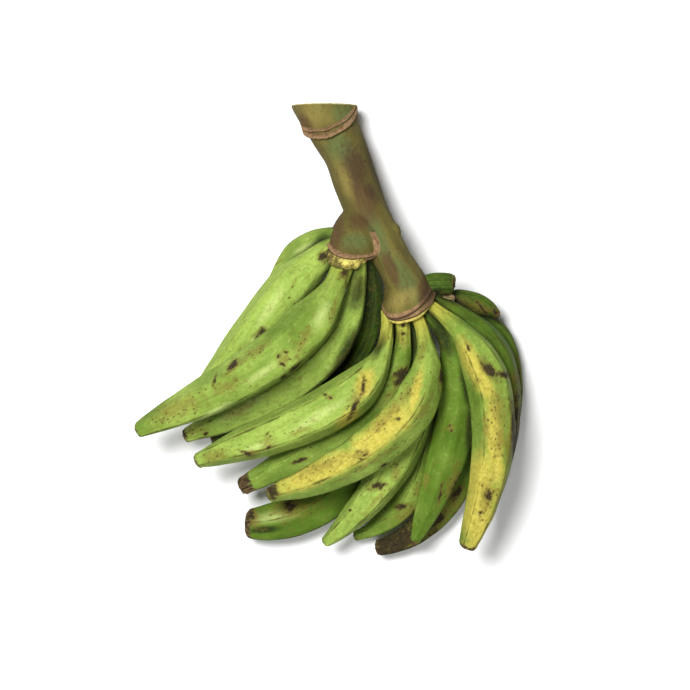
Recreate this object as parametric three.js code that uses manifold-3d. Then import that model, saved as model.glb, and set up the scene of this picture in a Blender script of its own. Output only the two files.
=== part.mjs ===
// A picked bunch of green plantains: a cut stalk carrying two hands of curved fingers.
// The bunch lies on its back on the floor, z = 0. Millimetres, +Z up, cut end of the stalk at +Y.

import * as THREE from "three";
import { mergeVertices } from "three/addons/utils/BufferGeometryUtils.js";
import Module from "manifold-3d";

const wasm = await Module();
wasm.setup();

// Clearance left between a finger and whatever it grows from or leans on
const GAP = 0.35;

// Shape of one finger, as shares of its length and of its belly radius
const NECK_SHARE = 0.35;
const NECK_END = 0.04;
const BELLY_START = 0.36;
const TAPER_POWER = 2.4;
const ROOT_SHARE = 0.05;
const TIP_CHAMFER = 0.72;

// Five-sided section of a finger
const RIDGES = 5;
const RIDGE_SHARPNESS = 9;
const RIDGE_MEAN = 1.055;
const RIDGE_FADE = [0.08, 0.26];

// How finely the solids are faceted
const FINGER_SIDES = 15;
const FINGER_RINGS = 15;
const STALK_SIDES = 24;

// The stalk is sawn square to +Y here
const STALK_CUT_Y = 227;

// The stalk, from beyond the saw cut down to the lower crown. Its rows are x, y, z and radius; past
// leanStart its rings lean: on the last one the front lies endLean, and the left endTilt, further on
// than the middle.
const STALK = {
  rings: 30,
  leanStart: 0.72,
  endLean: 12,
  endTilt: 6,
  rows: [
    [-13, 250, 27, 34],
    [-5, 228, 31, 32],
    [5, 200, 39, 25.5],
    [17, 174, 47, 22.6],
    [30, 137, 58, 21.6],
    [38.5, 115, 65, 21],
    [51, 92, 71, 19],
    [63.5, 68, 75, 18],
    [73, 50, 77, 20.8],
    [76.5, 39, 77, 24],
    [78, 32, 75.5, 27],
    [79, 25, 74, 26],
  ],
};

// The upper crown swells out of the stalk towards the upper hand
const UPPER_CROWN = {
  rings: 9,
  leanStart: 0,
  endLean: 24,
  endTilt: 11,
  rows: [
    [44, 122, 56, 12],
    [35, 110, 61, 22.5],
    [29, 96, 66.5, 27],
    [23.5, 81, 72, 25.5],
    [20, 73, 76, 19],
  ],
};

// Raised scars: the rod they ring, share along it, stand-off, half width, and how much further on than
// the middle the front (lean) and the left (tilt) lie
const SCARS = [
  { on: STALK, at: 0.135, proud: 2.0, half: 3.2, lean: 28, tilt: 4 },
  { on: STALK, at: 0.93, proud: 2.0, half: 3.2, lean: 11, tilt: 6 },
  { on: UPPER_CROWN, at: 0.64, proud: 1.8, half: 2.6, lean: 26, tilt: 6 },
];

// Leaf-base bumps on the side of the stalk: x, y, z, radius
const STALK_BUMPS = [
  [60, 97, 73, 11],
  [75, 66, 76, 10],
];

// Fingers, front ones first. The route passes these points at the start, one third, two thirds and the
// tip; belly is the largest radius, tip its share at the end, turn the degrees its ridges are rolled.
// Where one differs from the usual: neck is the share at its start, fills where it reaches its belly,
// and taper how late it narrows again.
const FINGERS = [
  {
    name: "upper_finger_3",
    route: [[13, 64, 84], [-35, -10, 100], [-109, -60, 95], [-192, -101, 80]],
    belly: 24,
    tip: 0.32,
    turn: 24,
    neck: 0.5,
    fills: 0.27,
  },
  {
    name: "lower_finger_3",
    route: [[86, 14, 84], [85, -68, 96], [22, -128, 94], [-62, -164, 80]],
    belly: 23,
    tip: 0.32,
    turn: -14,
    neck: 0.3,
    yellow: true,
  },
  {
    name: "lower_finger_9",
    route: [[100, 23, 80], [155, -46, 96], [160, -131, 95], [136, -217, 78]],
    belly: 22,
    tip: 0.42,
    turn: 28,
    yellow: true,
  },
  {
    name: "lower_finger_1",
    route: [[57, 7, 71], [25, -60, 94], [-51, -101, 90], [-134, -131, 76]],
    belly: 23,
    tip: 0.32,
    turn: 38,
    neck: 0.3,
  },
  {
    name: "upper_finger_2",
    route: [[0, 78, 73], [-45, 35, 66], [-90, -22, 58], [-142, -76, 47]],
    belly: 23,
    tip: 0.28,
    turn: 34,
    neck: 0.65,
    fills: 0.26,
  },
  {
    name: "upper_finger_4",
    route: [[28, 62, 76], [0, -18, 58], [-67, -71, 52], [-147, -107, 46]],
    belly: 21,
    tip: 0.35,
    turn: 20,
    neck: 0.45,
  },
  {
    name: "lower_finger_8",
    route: [[99, 15, 76], [129, -58, 60], [114, -137, 57], [84, -215, 50]],
    belly: 21,
    tip: 0.22,
    turn: 4,
  },
  {
    name: "lower_finger_2",
    route: [[72, 10, 78], [51, -66, 60], [-15, -118, 56], [-90, -159, 50]],
    belly: 19,
    tip: 0.45,
    turn: 20,
    neck: 0.42,
  },
  {
    name: "lower_finger_5",
    route: [[80, 14, 64], [88, -74, 51], [50, -155, 54], [-6, -214, 46]],
    belly: 21,
    tip: 0.28,
    turn: -38,
    neck: 0.45,
  },
  {
    name: "lower_finger_10",
    route: [[112, 28, 72], [167, -36, 58], [169, -118, 57], [152, -190, 52]],
    belly: 20,
    tip: 0.3,
    turn: 30,
  },
  {
    name: "upper_finger_1",
    route: [[2, 90, 66], [-33, 66, 34], [-60, 9, 19], [-93, -52, 19]],
    belly: 19,
    tip: 0.28,
    turn: 14,
    neck: 0.72,
    fills: 0.26,
  },
  {
    name: "upper_finger_5",
    route: [[36, 66, 60], [23, -16, 23], [-42, -72, 20], [-120, -112, 20]],
    belly: 20,
    tip: 0.35,
    turn: 12,
    neck: 0.6,
  },
  {
    name: "lower_finger_4",
    route: [[66, 14, 58], [57, -77, 23], [6, -161, 22.5], [-86, -196, 24]],
    belly: 23,
    tip: 0.6,
    turn: 8,
    neck: 0.45,
    taper: 5,
  },
  {
    name: "lower_finger_6",
    route: [[86, 14, 56], [103, -68, 19.5], [89, -154, 19.5], [24, -209, 20]],
    belly: 19,
    tip: 0.25,
    turn: 16,
  },
  {
    name: "lower_finger_7",
    route: [[98, 20, 56], [141, -62, 20], [123, -162, 20], [46, -221, 21]],
    belly: 19.5,
    tip: 0.4,
    turn: 10,
  },
  {
    name: "lower_finger_11",
    route: [[112, 24, 58], [168, -12, 22], [178, -85, 19], [163, -160, 20]],
    belly: 19,
    tip: 0.3,
    turn: 20,
  },
  {
    name: "cut_stub",
    route: [[90, 43, 74], [101, 45, 75], [112, 46, 75], [124, 45, 74]],
    belly: 12.5,
    tip: 0.86,
    turn: 20,
    neck: 0.85,
  },
  {
    name: "short_finger",
    route: [[105, 30, 60], [129, 29, 50], [151, 25, 45], [169, 14, 38]],
    belly: 12.5,
    tip: 0.34,
    turn: 10,
    neck: 0.6,
  },
  {
    name: "dry_stub",
    route: [[98, 34, 74], [107, 33, 73], [116, 32, 71], [124, 31, 69]],
    belly: 5.5,
    tip: 0.7,
    turn: 0,
    neck: 0.8,
  },
];

const PEEL_GREEN = 0x7fae3f;
const PEEL_YELLOW = 0xc9c24e;
const STALK_OLIVE = 0x7d7a3e;
const STUB_TAN = 0x9a7d55;

// Radius of a finger at a share of its length, as a share of its belly
function girthShare(along, { neck = NECK_SHARE, fills = BELLY_START, taper = TAPER_POWER, tip }) {
  const filled = THREE.MathUtils.smoothstep(along, NECK_END, fills);
  const past = THREE.MathUtils.clamp((along - BELLY_START) / (1 - BELLY_START), 0, 1);
  return (neck + (1 - neck) * filled) * (1 - (1 - tip) * past ** taper);
}

// Rounded five-sided section: 1 would be a plain circle; the ridges fade out into a round neck
function sectionShare(angle, along) {
  let pull = 0;
  for (let face = 0; face < RIDGES; face += 1) {
    const middle = ((face + 0.5) * 2 * Math.PI) / RIDGES;
    pull += Math.max(0, Math.cos(angle - middle)) ** RIDGE_SHARPNESS;
  }
  const ridged = pull ** (-1 / RIDGE_SHARPNESS) / RIDGE_MEAN;
  const fade = THREE.MathUtils.smoothstep(along, RIDGE_FADE[0], RIDGE_FADE[1]);
  return THREE.MathUtils.lerp(1, ridged, fade);
}

// Cubic curve that passes the four given points at the start, one third, two thirds and the end
function routeThrough(points) {
  const [a, b, c, d] = points.map((point) => new THREE.Vector3(...point));
  const mix = (wa, wb, wc, wd) => new THREE.Vector3()
    .addScaledVector(a, wa / 6)
    .addScaledVector(b, wb / 6)
    .addScaledVector(c, wc / 6)
    .addScaledVector(d, wd / 6);
  return new THREE.CubicBezierCurve3(a, mix(-5, 18, -9, 2), mix(2, -9, 18, -5), d);
}

// Point of a finger's middle line; before the start it runs straight back into the crown
function fingerStation(route, along) {
  const share = THREE.MathUtils.clamp(along, 0, 1);
  const tangent = route.getTangentAt(share);
  const point = route.getPointAt(share);
  point.addScaledVector(tangent, (along - share) * route.getLength());
  return { point, tangent };
}

// Bend an upright lathe, whose height is the share along a line, so that it follows that line
function bend(lathe, stationAt, roll, shapeAt) {
  const position = lathe.attributes.position;
  const up = new THREE.Vector3(0, 0, 1);
  for (let index = 0; index < position.count; index += 1) {
    const along = position.getY(index);
    const radius = Math.hypot(position.getX(index), position.getZ(index));
    const angle = Math.atan2(position.getX(index), position.getZ(index));
    const { point, tangent } = stationAt(along);
    const side = new THREE.Vector3().crossVectors(tangent, up).normalize();
    const rise = new THREE.Vector3().crossVectors(side, tangent).normalize();
    const { reach, slide } = shapeAt(radius, angle, along);
    point.addScaledVector(side, reach * Math.sin(angle + roll));
    point.addScaledVector(rise, reach * Math.cos(angle + roll));
    point.addScaledVector(tangent, slide);
    position.setXYZ(index, point.x, point.y, point.z);
  }
  return lathe;
}

function toSolid(geometry) {
  const bare = geometry.clone();
  bare.deleteAttribute("normal");
  bare.deleteAttribute("uv");
  const merged = mergeVertices(bare, 1e-4);
  const mesh = new wasm.Mesh({
    numProp: 3,
    vertProperties: new Float32Array(merged.attributes.position.array),
    triVerts: new Uint32Array(merged.index.array),
  });
  return new wasm.Manifold(mesh);
}

function largestBody(solid) {
  const bodies = solid.decompose();
  bodies.sort((one, other) => other.volume() - one.volume());
  return bodies[0];
}

function toMesh(solid, name, color, roughness) {
  const mesh = solid.getMesh();
  const geometry = new THREE.BufferGeometry();
  geometry.setAttribute("position", new THREE.BufferAttribute(new Float32Array(mesh.vertProperties), 3));
  geometry.setIndex(new THREE.BufferAttribute(new Uint32Array(mesh.triVerts), 1));
  geometry.computeVertexNormals();
  const material = new THREE.MeshStandardMaterial({ color, roughness, metalness: 0 });
  const node = new THREE.Mesh(geometry, material);
  node.name = name;
  return node;
}

// One finger; grow thickens it all round, which makes the tool that keeps its neighbours clear of it
function fingerSolid(finger, grow) {
  const profile = [new THREE.Vector2(0, -ROOT_SHARE)];
  for (let ring = 0; ring <= FINGER_RINGS; ring += 1) {
    const along = THREE.MathUtils.lerp(-ROOT_SHARE, 0.985, ring / FINGER_RINGS);
    profile.push(new THREE.Vector2(finger.belly * girthShare(along, finger) + grow, along));
  }
  profile.push(new THREE.Vector2(finger.belly * finger.tip * TIP_CHAMFER + grow, 1));
  profile.push(new THREE.Vector2(0, 1));
  const route = routeThrough(finger.route);
  const lathe = new THREE.LatheGeometry(profile, FINGER_SIDES);
  const section = (radius, angle, along) => ({
    reach: radius * sectionShare(angle, along),
    slide: along === 1 ? grow : 0,
  });
  const roll = THREE.MathUtils.degToRad(finger.turn);
  return toSolid(bend(lathe, (along) => fingerStation(route, along), roll, section));
}

// A line with a radius at each of its points; both are read at the same share
function thickLine(rows) {
  const line = new THREE.CatmullRomCurve3(
    rows.map(([x, y, z]) => new THREE.Vector3(x, y, z)), false, "catmullrom", 0.5);
  const girth = new THREE.CatmullRomCurve3(
    rows.map((row, index) => new THREE.Vector3(row[3], index, 0)), false, "catmullrom", 0.5);
  return {
    station: (along) => ({ point: line.getPoint(along), tangent: line.getTangent(along) }),
    radius: (along) => girth.getPoint(along).x,
  };
}

function rodSolid({ rows, rings, leanStart, endLean, endTilt }, grow) {
  const line = thickLine(rows);
  const profile = [new THREE.Vector2(0, 0)];
  for (let ring = 0; ring <= rings; ring += 1) {
    profile.push(new THREE.Vector2(line.radius(ring / rings) + grow, ring / rings));
  }
  profile.push(new THREE.Vector2(0, 1));
  const lathe = new THREE.LatheGeometry(profile, STALK_SIDES);
  const leaning = (radius, angle, along) => {
    const share = (THREE.MathUtils.smoothstep(along, leanStart, 1) * radius) / line.radius(along);
    const slide = share * (endLean * Math.cos(angle) + endTilt * Math.sin(angle));
    return { reach: radius, slide: slide + (along === 1 ? grow : 0) };
  };
  return toSolid(bend(lathe, line.station, 0, leaning));
}

// A scar is a thick disc with a blunt rim, leaning forwards and to the left
function scarSolid(scar, grow) {
  const line = thickLine(scar.on.rows);
  const core = line.radius(scar.at);
  const half = scar.half + grow;
  const rim = core + scar.proud + grow;
  const profile = [
    new THREE.Vector2(0, -half),
    new THREE.Vector2(core * 0.97, -half),
    new THREE.Vector2(rim, -half * 0.35),
    new THREE.Vector2(rim, half * 0.35),
    new THREE.Vector2(core * 0.97, half),
    new THREE.Vector2(0, half),
  ];
  const lathe = new THREE.LatheGeometry(profile, STALK_SIDES);
  const lean = (radius, angle, height) => ({
    reach: radius,
    slide: height + (scar.lean * Math.cos(angle) + scar.tilt * Math.sin(angle)) * (radius / core),
  });
  return toSolid(bend(lathe, () => line.station(scar.at), 0, lean));
}

function bumpSolid([x, y, z, radius], grow) {
  const ball = new THREE.SphereGeometry(radius + grow, 14, 10);
  ball.translate(x, y, z);
  return toSolid(ball);
}

function stalkSolid(grow) {
  const pieces = [
    rodSolid(STALK, grow),
    rodSolid(UPPER_CROWN, grow),
    ...SCARS.map((scar) => scarSolid(scar, grow)),
    ...STALK_BUMPS.map((bump) => bumpSolid(bump, grow)),
  ];
  return wasm.Manifold.union(pieces).trimByPlane([0, -1, 0], -STALK_CUT_Y);
}

// Whatever would sink into the floor is pressed flat on it
function onFloor(solid) {
  return solid.trimByPlane([0, 0, 1], 0);
}

function boxesMeet(one, other) {
  const a = one.boundingBox();
  const b = other.boundingBox();
  return [0, 1, 2].every((axis) => a.min[axis] < b.max[axis] && b.min[axis] < a.max[axis]);
}

function fingerColor(finger) {
  if (finger.name === "dry_stub") {
    return STUB_TAN;
  }
  return finger.yellow ? PEEL_YELLOW : PEEL_GREEN;
}

const bunch = new THREE.Group();
bunch.name = "plantain_bunch";
bunch.add(toMesh(onFloor(stalkSolid(0)), "stalk", STALK_OLIVE, 0.7));

// Each finger is cut clear of the stalk and of every finger in front of it; where the stalk's rings fold,
// its plain form reaches a little past the grown one, so both are cut away
const keepOut = [stalkSolid(GAP), stalkSolid(0)];
for (const finger of FINGERS) {
  let solid = onFloor(fingerSolid(finger, 0));
  for (const tool of keepOut) {
    if (boxesMeet(solid, tool)) {
      solid = solid.subtract(tool);
    }
  }
  bunch.add(toMesh(largestBody(solid), finger.name, fingerColor(finger), 0.5));
  keepOut.push(fingerSolid(finger, GAP));
}

export default bunch;
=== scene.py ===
"""A picked bunch of green plantains on a pale floor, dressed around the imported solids."""
import math

import bmesh
import bpy
import numpy as np
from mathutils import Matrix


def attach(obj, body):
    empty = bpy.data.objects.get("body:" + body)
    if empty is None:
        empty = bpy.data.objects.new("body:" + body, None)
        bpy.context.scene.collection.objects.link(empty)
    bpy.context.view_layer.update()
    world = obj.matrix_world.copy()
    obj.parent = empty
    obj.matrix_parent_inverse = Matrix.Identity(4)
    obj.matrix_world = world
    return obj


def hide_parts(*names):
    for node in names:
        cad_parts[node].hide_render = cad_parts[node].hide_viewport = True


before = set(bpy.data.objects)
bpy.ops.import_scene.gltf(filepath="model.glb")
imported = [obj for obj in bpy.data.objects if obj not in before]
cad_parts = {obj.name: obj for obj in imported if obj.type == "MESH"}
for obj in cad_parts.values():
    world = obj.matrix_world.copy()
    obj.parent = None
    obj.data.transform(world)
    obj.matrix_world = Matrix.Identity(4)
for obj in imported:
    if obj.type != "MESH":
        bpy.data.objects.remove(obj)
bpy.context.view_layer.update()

MM = 0.001

# Every random draw is seeded from this number
SEED = 7

# The camera looks straight down; the focal length puts one millimetre, 60 mm up, on one image pixel
CAMERA_PLACE = (0.015, -0.015, 3.0)
SENSOR_MM = 36.0
IMAGE_PIXELS = 690
FOCAL_PIXELS = 2940

# Lights and floor, in metres and watts: a key lamp high on the left and a weak one beyond the finger tips
KEY_LAMP = dict(place=(-0.55, 0.5, 2.45), size=0.9, watts=91)
FRONT_LAMP = dict(place=(0.1, -1.2, 1.9), size=1.2, watts=17)
WORLD_STRENGTH = 0.12
FLOOR_SIZE = 8
FLOOR_GAP = 0.0002

# Shape of one finger, as shares of its length and of its belly radius
NECK_SHARE = 0.35
NECK_END = 0.04
BELLY_START = 0.36
TAPER_POWER = 2.4
ROOT_SHARE = 0.05
RIDGES = 5
RIDGE_SHARPNESS = 9
RIDGE_MEAN = 1.055
RIDGE_FADE = (0.08, 0.26)

# Relief of the peel, in mm: the length and height of its swells, of its ripples and of the dry tip's
# crumpling, and the grooves that fade out along the neck
SWELL_LENGTH = 34
SWELL_HEIGHT = 0.36
RIPPLE_LENGTH = 7
RIPPLE_HEIGHT = 0.10
CRUMPLE_LENGTH = 3.2
CRUMPLE_HEIGHT = 0.55
NECK_GROOVES = 8
GROOVE_LENGTH = 50
GROOVE_DRIFT = 2.2
GROOVE_HEIGHT = 0.26
GROOVE_FADE = (0.06, 0.24)

# How far the mean skin lies inside the plain form, in mm, so that its swells stay within the form's box,
# the radius from which the relief has its full height, and the lowest place of any skin
SKIN_INSET = 0.65
FULL_RELIEF_RADIUS = 6
LOWEST = 0.05

# The finger's end: the share where its close rings start, how far the last rings shrink, and how far, in
# mm, the end is ragged, set back and dimpled
TIP_START = 0.93
END_RINGS = 5
END_SHRINK = (0.86, 0.18)
RAGGED_HEIGHT = 0.7
RAGGED_SET_BACK = 0.4
CAP_DIMPLE = 0.6

# Relief of the stalk, in mm: fibres, lumps, roughness of the lips, the groove past a lip and the depth to
# which a scar's edge is sunk
FIBRE_HEIGHT = 0.12
LUMP_HEIGHT = 0.45
LIP_HEIGHT = 0.1
LIP_GROOVE_DEPTH = 0.5
SCAR_ROOT = 1.5

# How finely the pieces are meshed and measured, with how many points at a time, and the waves in a noise
FINGER_SIDES = 90
FINGER_RINGS = 170
TIP_RINGS = 22
ROD_SIDES = 64
STALK_VOXEL = 1.0 * MM
ROUTE_STEPS = 401
GAP_STEPS = 70
ROD_STEPS = 240
POINT_BLOCK = 20000
WAVES = 14

# Fields on the skins, in mm: how far off a ridge its brown line is sure to have ended, how gradually a tip
# dries, and the shifts that give each skin noise of its own
OFF_RIDGE = 6
DRY_FADE = 8
SKIN_SHIFT = 61.0
STALK_SHIFT = 17.0

# How far round the sides marks reach, as the least upward share of the direction out of the skin
FINGER_MARK_REACH = -0.35
STALK_MARK_REACH = -0.2

# Low gloss of the peel and the stem skin
GLOSS = 0.22

# Fingers, in millimetres. The route passes its points at the start, one third, two thirds and the tip.
# belly is the radius in mm, tip the share of it at the end, and turn the angle of the section in degrees.
# Where one differs from the usual: neck is the share at its start, fills where it reaches its belly, and
# taper how late it narrows. tone runs from dark green, below 0, to fresh light green, 1, and is partly the
# peel's own green and partly painted shade, set low on fingers that lie in the shade of others; ends is how
# far the dry tip reaches in mm; blond is how yellow the neck is; bare is the side whose ridges have no brown
# line.
FINGERS = {
    "upper_finger_1": dict(
        route=((2, 90, 66), (-33, 66, 34), (-60, 9, 19), (-93, -52, 19)),
        belly=19, tip=0.28, turn=14, neck=0.72, fills=0.26, tone_and_shade=0.5, ends=3, bare="both"),
    "upper_finger_2": dict(
        route=((0, 78, 73), (-45, 35, 66), (-90, -22, 58), (-142, -76, 47)),
        belly=23, tip=0.28, turn=34, neck=0.65, fills=0.26, tone_and_shade=0.85, ends=3, bare="both"),
    "upper_finger_3": dict(
        route=((13, 64, 84), (-35, -10, 100), (-109, -60, 95), (-192, -101, 80)),
        belly=24, tip=0.32, turn=24, neck=0.5, fills=0.27, tone_and_shade=0.6, ends=3, blond=0.25, bare="left"),
    "upper_finger_4": dict(
        route=((28, 62, 76), (0, -18, 58), (-67, -71, 52), (-147, -107, 46)),
        belly=21, tip=0.35, turn=20, neck=0.45, tone_and_shade=0.75, ends=5, blond=0.1),
    "upper_finger_5": dict(
        route=((36, 66, 60), (23, -16, 23), (-42, -72, 20), (-120, -112, 20)),
        belly=20, tip=0.35, turn=12, neck=0.6, tone_and_shade=-0.35, ends=5),
    "lower_finger_1": dict(
        route=((57, 7, 71), (25, -60, 94), (-51, -101, 90), (-134, -131, 76)),
        belly=23, tip=0.32, turn=38, neck=0.3, tone_and_shade=0.8, ends=4, blond=0.8),
    "lower_finger_2": dict(
        route=((72, 10, 78), (51, -66, 60), (-15, -118, 56), (-90, -159, 50)),
        belly=19, tip=0.45, turn=20, neck=0.42, tone_and_shade=0.5, ends=15, blond=0.7),
    "lower_finger_3": dict(
        route=((86, 14, 84), (85, -68, 96), (22, -128, 94), (-62, -164, 80)),
        belly=23, tip=0.32, turn=-14, neck=0.3, tone_and_shade=0.6, ends=4, blond=1),
    "lower_finger_4": dict(
        route=((66, 14, 58), (57, -77, 23), (6, -161, 22.5), (-86, -196, 24)),
        belly=23, tip=0.6, turn=8, neck=0.45, taper=5, tone_and_shade=0.1, ends=7),
    "lower_finger_5": dict(
        route=((80, 14, 64), (88, -74, 51), (50, -155, 54), (-6, -214, 46)),
        belly=21, tip=0.28, turn=-38, neck=0.45, tone_and_shade=0.8, ends=3),
    "lower_finger_6": dict(
        route=((86, 14, 56), (103, -68, 19.5), (89, -154, 19.5), (24, -209, 20)),
        belly=19, tip=0.25, turn=16, tone_and_shade=0.45, ends=3),
    "lower_finger_7": dict(
        route=((98, 20, 56), (141, -62, 20), (123, -162, 20), (46, -221, 21)),
        belly=19.5, tip=0.4, turn=10, tone_and_shade=0.1, ends=4),
    "lower_finger_8": dict(
        route=((99, 15, 76), (129, -58, 60), (114, -137, 57), (84, -215, 50)),
        belly=21, tip=0.22, turn=4, tone_and_shade=0.25, ends=6, bare="both"),
    "lower_finger_9": dict(
        route=((100, 23, 80), (155, -46, 96), (160, -131, 95), (136, -217, 78)),
        belly=22, tip=0.42, turn=28, tone_and_shade=0.5, ends=5, blond=0.9),
    "lower_finger_10": dict(
        route=((112, 28, 72), (167, -36, 58), (169, -118, 57), (152, -190, 52)),
        belly=20, tip=0.3, turn=30, tone_and_shade=0.0, ends=8, blond=0.1),
    "lower_finger_11": dict(
        route=((112, 24, 58), (168, -12, 22), (178, -85, 19), (163, -160, 20)),
        belly=19, tip=0.3, turn=20, tone_and_shade=0.0, ends=8),
    "cut_stub": dict(
        route=((90, 43, 74), (101, 45, 75), (112, 46, 75), (124, 45, 74)),
        belly=12.5, tip=0.86, turn=20, neck=0.85, tone_and_shade=-0.2, ends=0, bare="both"),
    "short_finger": dict(
        route=((105, 30, 60), (129, 29, 50), (151, 25, 45), (169, 14, 38)),
        belly=12.5, tip=0.34, turn=10, neck=0.6, tone_and_shade=-0.25, ends=4),
    "dry_stub": dict(
        route=((98, 34, 74), (107, 33, 73), (116, 32, 71), (124, 31, 69)),
        belly=5.5, tip=0.7, turn=0, neck=0.8, tone_and_shade=0.2, ends=30),
}

# Marks seen from above, in millimetres: x, y, half length, half width, direction in degrees.
# ripe turns the peel yellow; deep is painted shade, dark green where a finger lies in the shade of others;
# pale is painted sheen, and painted light on flanks that would lie in shade; bruise is a dark patch and
# scuff is an area of dense flecks.
MARK_KINDS = ("ripe", "bruise", "scuff", "painted_shade", "pale")
MARKS = {
    "upper_finger_1": dict(
        scuff=((-52, 68, 16, 2, 35),),
        painted_shade=((-24, 74, 30, 5, 24),),
        pale=((-26, 82, 20, 5, 30),)),
    "upper_finger_2": dict(
        bruise=((-68, -3, 9, 5, 32), (-6, 73, 8, 7, 60), (-40, 32, 2, 1.5, 0)),
        pale=((-58, 24, 36, 8, 56), (-78, -14, 26, 5, 54)),
        scuff=((-36, 46, 10, 3, 60), (-60, -5, 16, 7, 35), (-86, -20, 20, 4, 45))),
    "upper_finger_3": dict(
        bruise=((-90, -78, 54, 1.7, 27), (-34, -37, 10, 2.4, 42), (-45, -47, 5, 3.2, 40),
                (-78, -70, 12, 2, 30), (-95, -34, 9, 4, 48), (-113, -50, 8, 2, 75), (-50, -26, 3, 2, 70),
                (-43, -22, 3, 1.8, 20), (-46, -34, 3, 2, -30), (-39, -29, 2.2, 1.6, 0),
                (14, 56, 8, 4.5, 70), (18, 34, 15, 2.2, -82)),
        scuff=((-45, -28, 12, 10, 30), (-102, -56, 22, 9, 20), (-150, -78, 44, 16, 25),
               (-72, -20, 24, 7, 38), (-92, -36, 26, 4, 40), (-26, -12, 22, 8, 60), (4, 20, 24, 4, 70)),
        pale=((-8, 14, 22, 9, 62), (-66, -42, 28, 6, 34), (-112, -80, 30, 5, 28))),
    "upper_finger_4": dict(
        bruise=((-146, -112, 5, 1.6, 40), (-124, -104, 3, 1.6, 20)),
        scuff=((-30, -48, 5, 3, 30), (-90, -80, 30, 8, 30), (-134, -100, 20, 9, 20)),
        painted_shade=((27, 38, 28, 10, 78), (17, -22, 40, 11, 62)),
        pale=((-88, -78, 44, 8, 32),)),
    "upper_finger_5": dict(
        painted_shade=((32, 30, 44, 24, 85), (2, -42, 40, 18, 52))),
    "lower_finger_1": dict(
        pale=((-10, -84, 46, 7, 30), (-74, -116, 24, 5, 20)),
        ripe=((34, -54, 20, 10, 70), (18, -88, 20, 9, 45)),
        bruise=((24, -76, 16, 3, 64), (33, -54, 10, 2.2, 85), (1, -67, 3, 2.2, -30), (-4, -64, 2.2, 1.6, 0),
                (-61, -102, 3, 1.6, 60), (-60, -116, 3.4, 2, 40), (-82, -122, 8, 2.6, -20)),
        scuff=((0, -66, 8, 5, 0), (-78, -122, 12, 7, 0), (-61, -110, 10, 9, 80), (-112, -124, 24, 9, 10),
               (26, -66, 26, 10, 60), (-30, -100, 14, 5, 20)),
        painted_shade=((50, -14, 22, 7, 62),)),
    "lower_finger_2": dict(
        bruise=((71, -47, 13, 8, 50), (73, 4, 3, 2, 0), (73, -4, 3.6, 2.6, 0), (-30, -130, 9, 3, 20)),
        scuff=((62, -64, 22, 8, 45), (72, -10, 14, 6, 90))),
    "lower_finger_3": dict(
        ripe=((50, -102, 58, 16, 42), (-5, -137, 70, 14, 24), (84, -62, 30, 6, 75)),
        bruise=((-58, -161, 8, 10, 20), (110, -46, 14, 3, 84), (67, -87, 3, 2, 0), (28, -119, 3.4, 1.6, 20),
                (35, -123, 3, 1.5, 30), (31, -127, 3, 1.4, 0), (55, -134, 7, 3.4, 15)),
        scuff=((31, -122, 13, 9, 15), (50, -92, 18, 9, 45), (60, -80, 30, 9, 50), (-10, -135, 44, 10, 22),
               (92, -80, 22, 6, 58), (40, -130, 50, 4, 30), (90, -20, 22, 6, 80), (76, -62, 24, 8, 60))),
    "lower_finger_4": dict(
        bruise=((-40, -177, 9, 7, 60), (-80, -186, 5, 8, 0)),
        scuff=((-38, -180, 40, 16, 10), (-76, -190, 10, 14, 0)),
        pale=((-58, -188, 36, 9, 8),),
        painted_shade=((62, -26, 56, 20, 88), (-66, -201, 22, 5, 6))),
    "lower_finger_5": dict(
        bruise=((47, -155, 9, 5.5, 12), (20, -206, 4, 2, 15), (20, -180, 2, 1.5, 0),
                (60, -176, 48, 2.4, 46)),
        scuff=((66, -142, 14, 8, 66), (46, -170, 34, 4, 48)),
        painted_shade=((84, -8, 32, 12, -88),)),
    "lower_finger_6": dict(
        bruise=((71, -178, 8, 4, 10),),
        scuff=((80, -184, 30, 12, 30), (90, -160, 20, 8, 50)),
        painted_shade=((95, -24, 54, 18, -84),)),
    "lower_finger_7": dict(
        bruise=((60, -214, 64, 40, 25), (128, -165, 10, 6, 60), (110, -190, 12, 5, 50)),
        scuff=((120, -180, 40, 14, 50),),
        painted_shade=((118, -20, 56, 18, -70),)),
    "lower_finger_8": dict(
        bruise=((119, -95, 2.2, 1.6, 60), (121, -100, 2.6, 1.8, 60), (126, -157, 13, 7, 75),
                (110, -163, 14, 2, 80), (110, -194, 6, 3, 50)),
        scuff=((120, -98, 8, 5, 0), (96, -150, 14, 5, 80), (122, -152, 30, 7, 75)),
        painted_shade=((112, -8, 28, 11, -68), (138, -62, 34, 8, -76), (140, -104, 40, 7, -90))),
    "lower_finger_9": dict(
        ripe=((146, -44, 44, 11, -62), (162, -112, 60, 11, -87), (147, -170, 64, 20, 82)),
        bruise=((157, -40, 15, 6, -50), (170, -44, 12, 4, -8), (136, -17, 5, 1.4, -70),
                (156, -164, 7, 4.4, 80), (149, -180, 2.6, 2, 0), (182, -112, 54, 3.4, -88),
                (170, -176, 36, 4, 68)),
        scuff=((153, -98, 24, 6, 88), (167, -108, 24, 10, 86), (154, -165, 30, 12, 80),
               (136, -14, 10, 5, -60), (146, -50, 14, 5, 60), (176, -112, 60, 7, 88),
               (170, -160, 44, 5, 70), (166, -78, 36, 12, -82))),
    "lower_finger_10": dict(
        bruise=((176, -95, 34, 6, 86), (168, -60, 20, 3, -70), (184, -110, 70, 8, 86),
                (170, -165, 30, 9, 66)),
        scuff=((176, -100, 80, 16, 85),)),
    "lower_finger_11": dict(
        bruise=((190, -75, 50, 5, -86),),
        scuff=((186, -90, 70, 14, 88),)),
    "cut_stub": dict(
        bruise=((118, 34, 9, 3, -10), (123, 46, 2, 12, 0)),
        painted_shade=((104, 36, 12, 6, 30),)),
    "short_finger": dict(
        bruise=((166, 18, 5, 4, -45), (126, 28, 8, 6, 0), (152, 22, 12, 2, -50)),
        scuff=((150, 22, 20, 8, -20),),
        painted_shade=((126, 24, 16, 9, -10),)),
}

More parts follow.
